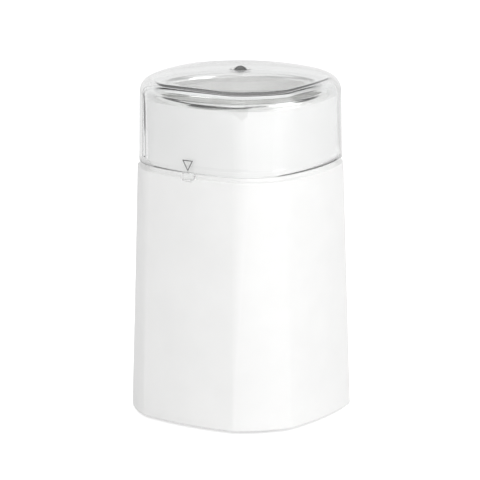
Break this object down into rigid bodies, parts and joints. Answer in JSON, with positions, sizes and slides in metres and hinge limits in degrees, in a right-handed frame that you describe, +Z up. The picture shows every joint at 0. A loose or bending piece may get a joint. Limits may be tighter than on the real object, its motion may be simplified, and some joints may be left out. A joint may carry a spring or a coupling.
{
  "type": "electric coffee grinder",
  "caption": "White blade coffee grinder with softly bulged sides and a clear domed lid that is pressed down to start it, over a steel bowl with a spinning blade.",
  "frame": {"origin": "on the floor under the middle of the object, at the underside of the feet", "axes": "+Z up along the motor shaft, -Y towards the front with the lid's tongue, +X to the right of it"},
  "size_m": [0.094, 0.094, 0.1617],
  "materials": {
    "white_plastic": "satin",
    "clear_plastic": "polished",
    "steel_bowl": "polished",
    "steel": "satin",
    "spring_steel": "satin",
    "rubber": "matte",
    "black_plastic": "matte",
    "grey_plastic": "matte",
    "bronze": "satin",
    "copper": "satin",
    "laminations": "satin",
    "carbon": "matte"
  },
  "bodies": {
    "base": {"body_shell": "white_plastic", "return_spring": "spring_steel", "microswitch": "black_plastic", "switch_terminals": "bronze", "grinding_bowl": "steel_bowl", "bowl_gasket": "rubber", "shaft_seal": "rubber", "motor_carrier": "grey_plastic", "carrier_screws": "steel", "upper_bearing": "bronze", "stator_core": "laminations", "field_coil_right": "copper", "field_coil_left": "copper", "lower_bracket": "grey_plastic", "lower_bearing": "bronze", "motor_bolts": "steel", "brush_holder_right": "bronze", "carbon_brush_right": "carbon", "brush_spring_right": "spring_steel", "brush_holder_left": "bronze", "carbon_brush_left": "carbon", "brush_spring_left": "spring_steel", "base_plate": "white_plastic", "rubber_feet": "rubber", "base_screws": "steel", "cord_gland": "black_plastic"},
    "plunger": {"push_rod": "white_plastic"},
    "lid": {"lid": "clear_plastic"},
    "lever": {"switch_lever": "steel"},
    "button": {"switch_button": "white_plastic"},
    "rotor": {"motor_shaft": "steel", "armature_core": "laminations", "armature_winding": "copper", "commutator": "copper", "thrust_washers": "steel", "blade_spacer": "black_plastic", "blade": "steel", "blade_nut": "steel"}
  },
  "joints": [
    {"name": "lid_press", "type": "slide", "parent": "base", "child": "plunger", "axis": [0, 0, 1], "range_m": [-0.0019, 0], "stiffness_N_per_m": 2000, "springref_m": 0.003, "deforming": ["return_spring"]},
    {"name": "lid_lift", "type": "slide", "parent": "plunger", "child": "lid", "axis": [0, 0, 1], "range_m": [0, 0.06]},
    {"name": "rotor_spin", "type": "hinge", "parent": "base", "child": "rotor", "pos_m": [0, 0, 0], "axis": [0, 0, 1], "continuous": true},
    {"name": "lever_tilt", "type": "hinge", "parent": "base", "child": "lever", "pos_m": [-0.013, -0.03774, 0.079], "axis": [0, 1, 0], "range_deg": [0, 8.5]},
    {"name": "button_press", "type": "slide", "parent": "base", "child": "button", "axis": [0, 0, 1], "range_m": [-0.00075, 0]}
  ],
  "couplings": [
    {"joint": "lever_tilt", "follows": "lid_press", "rad_per_m": -76.923},
    {"joint": "button_press", "follows": "lid_press", "ratio": 0.3692}
  ]
}
